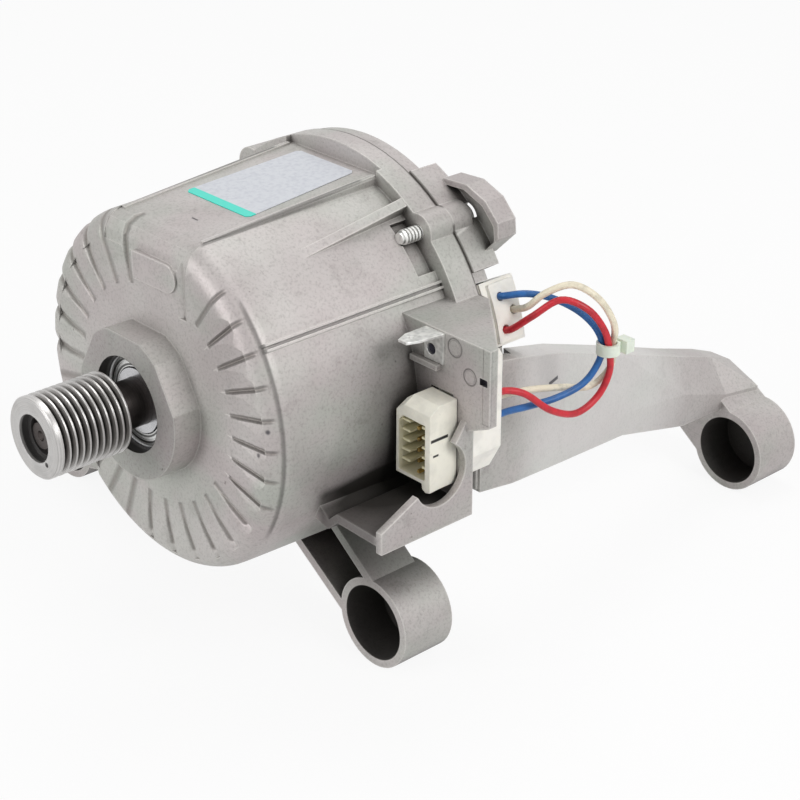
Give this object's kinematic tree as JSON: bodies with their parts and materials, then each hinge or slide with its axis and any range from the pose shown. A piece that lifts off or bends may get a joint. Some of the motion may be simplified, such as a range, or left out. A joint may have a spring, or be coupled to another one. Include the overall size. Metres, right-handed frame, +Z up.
{
  "type": "washing machine motor",
  "caption": "Belt-drive motor with a die-cast housing on three foot arms, fluted front shield, grooved pulley and side connector.",
  "frame": {"origin": "middle of the pulley's belt track, on the shaft's axis", "axes": "-Y along the shaft out of the pulley, +Z up to the label platform, +X to the side with the connector"},
  "size_m": [0.2255, 0.28, 0.1553],
  "materials": {
    "cast_aluminium": "die-cast, grainy satin",
    "cover_aluminium": "die-cast, satin",
    "zinc_steel": "zinc plated",
    "lamination": "stacked laminations, dull",
    "bobbin": "moulded",
    "copper": "enamelled winding wire",
    "ferrite": "ground",
    "end_plate": "stamped",
    "shaft_steel": "ground",
    "pulley_steel": "turned",
    "bearing_steel": "ground",
    "ball_steel": "polished",
    "cage_steel": "stamped",
    "shield_steel": "pressed",
    "spring_steel": "oiled",
    "white_plastic": "moulded",
    "gasket": "cut sheet",
    "contact_brass": "tinned brass",
    "ivory_plastic": "moulded",
    "blue_wire": "insulation",
    "red_wire": "insulation",
    "white_wire": "insulation",
    "tie_plastic": "moulded",
    "label_film": "printed film, left blank"
  },
  "bodies": {
    "stator": {"motor_housing": "cast_aluminium", "rear_cover": "cover_aluminium", "cover_screws": "zinc_steel", "stator_core": "lamination", "insulator_front": "bobbin", "insulator_rear": "bobbin", "stator_coils": "copper", "front_bearing_outer": "bearing_steel", "front_bearing_shields": "shield_steel", "rear_bearing_outer": "bearing_steel", "rear_bearing_shields": "shield_steel", "bearing_circlip": "spring_steel", "wave_washer": "spring_steel", "terminal_block": "white_plastic", "terminal_gasket": "gasket", "terminal_pins": "contact_brass", "connector_housing": "ivory_plastic", "connector_back": "white_plastic", "connector_pins": "contact_brass", "earth_tab": "zinc_steel", "wire_blue": "blue_wire", "wire_red": "red_wire", "wire_white": "white_wire", "cable_tie": "tie_plastic", "rating_label": "label_film"},
    "rotor": {"shaft": "shaft_steel", "pulley": "pulley_steel", "rotor_core": "lamination", "rotor_magnets": "ferrite", "rotor_end_plates": "end_plate", "front_bearing_inner": "bearing_steel", "rear_bearing_inner": "bearing_steel"},
    "front_cage": {"front_bearing_cage": "cage_steel", "front_bearing_balls": "ball_steel"},
    "rear_cage": {"rear_bearing_cage": "cage_steel", "rear_bearing_balls": "ball_steel"}
  },
  "joints": [
    {"name": "rotor_spin", "type": "hinge", "parent": "stator", "child": "rotor", "pos_m": [0, 0, 0], "axis": [0, 1, 0], "continuous": true},
    {"name": "front_cage_spin", "type": "hinge", "parent": "stator", "child": "front_cage", "pos_m": [0, 0, 0], "axis": [0, 1, 0], "continuous": true},
    {"name": "rear_cage_spin", "type": "hinge", "parent": "stator", "child": "rear_cage", "pos_m": [0, 0, 0], "axis": [0, 1, 0], "continuous": true}
  ],
  "couplings": [
    {"joint": "front_cage_spin", "follows": "rotor_spin", "ratio": 0.384},
    {"joint": "rear_cage_spin", "follows": "rotor_spin", "ratio": 0.368}
  ]
}
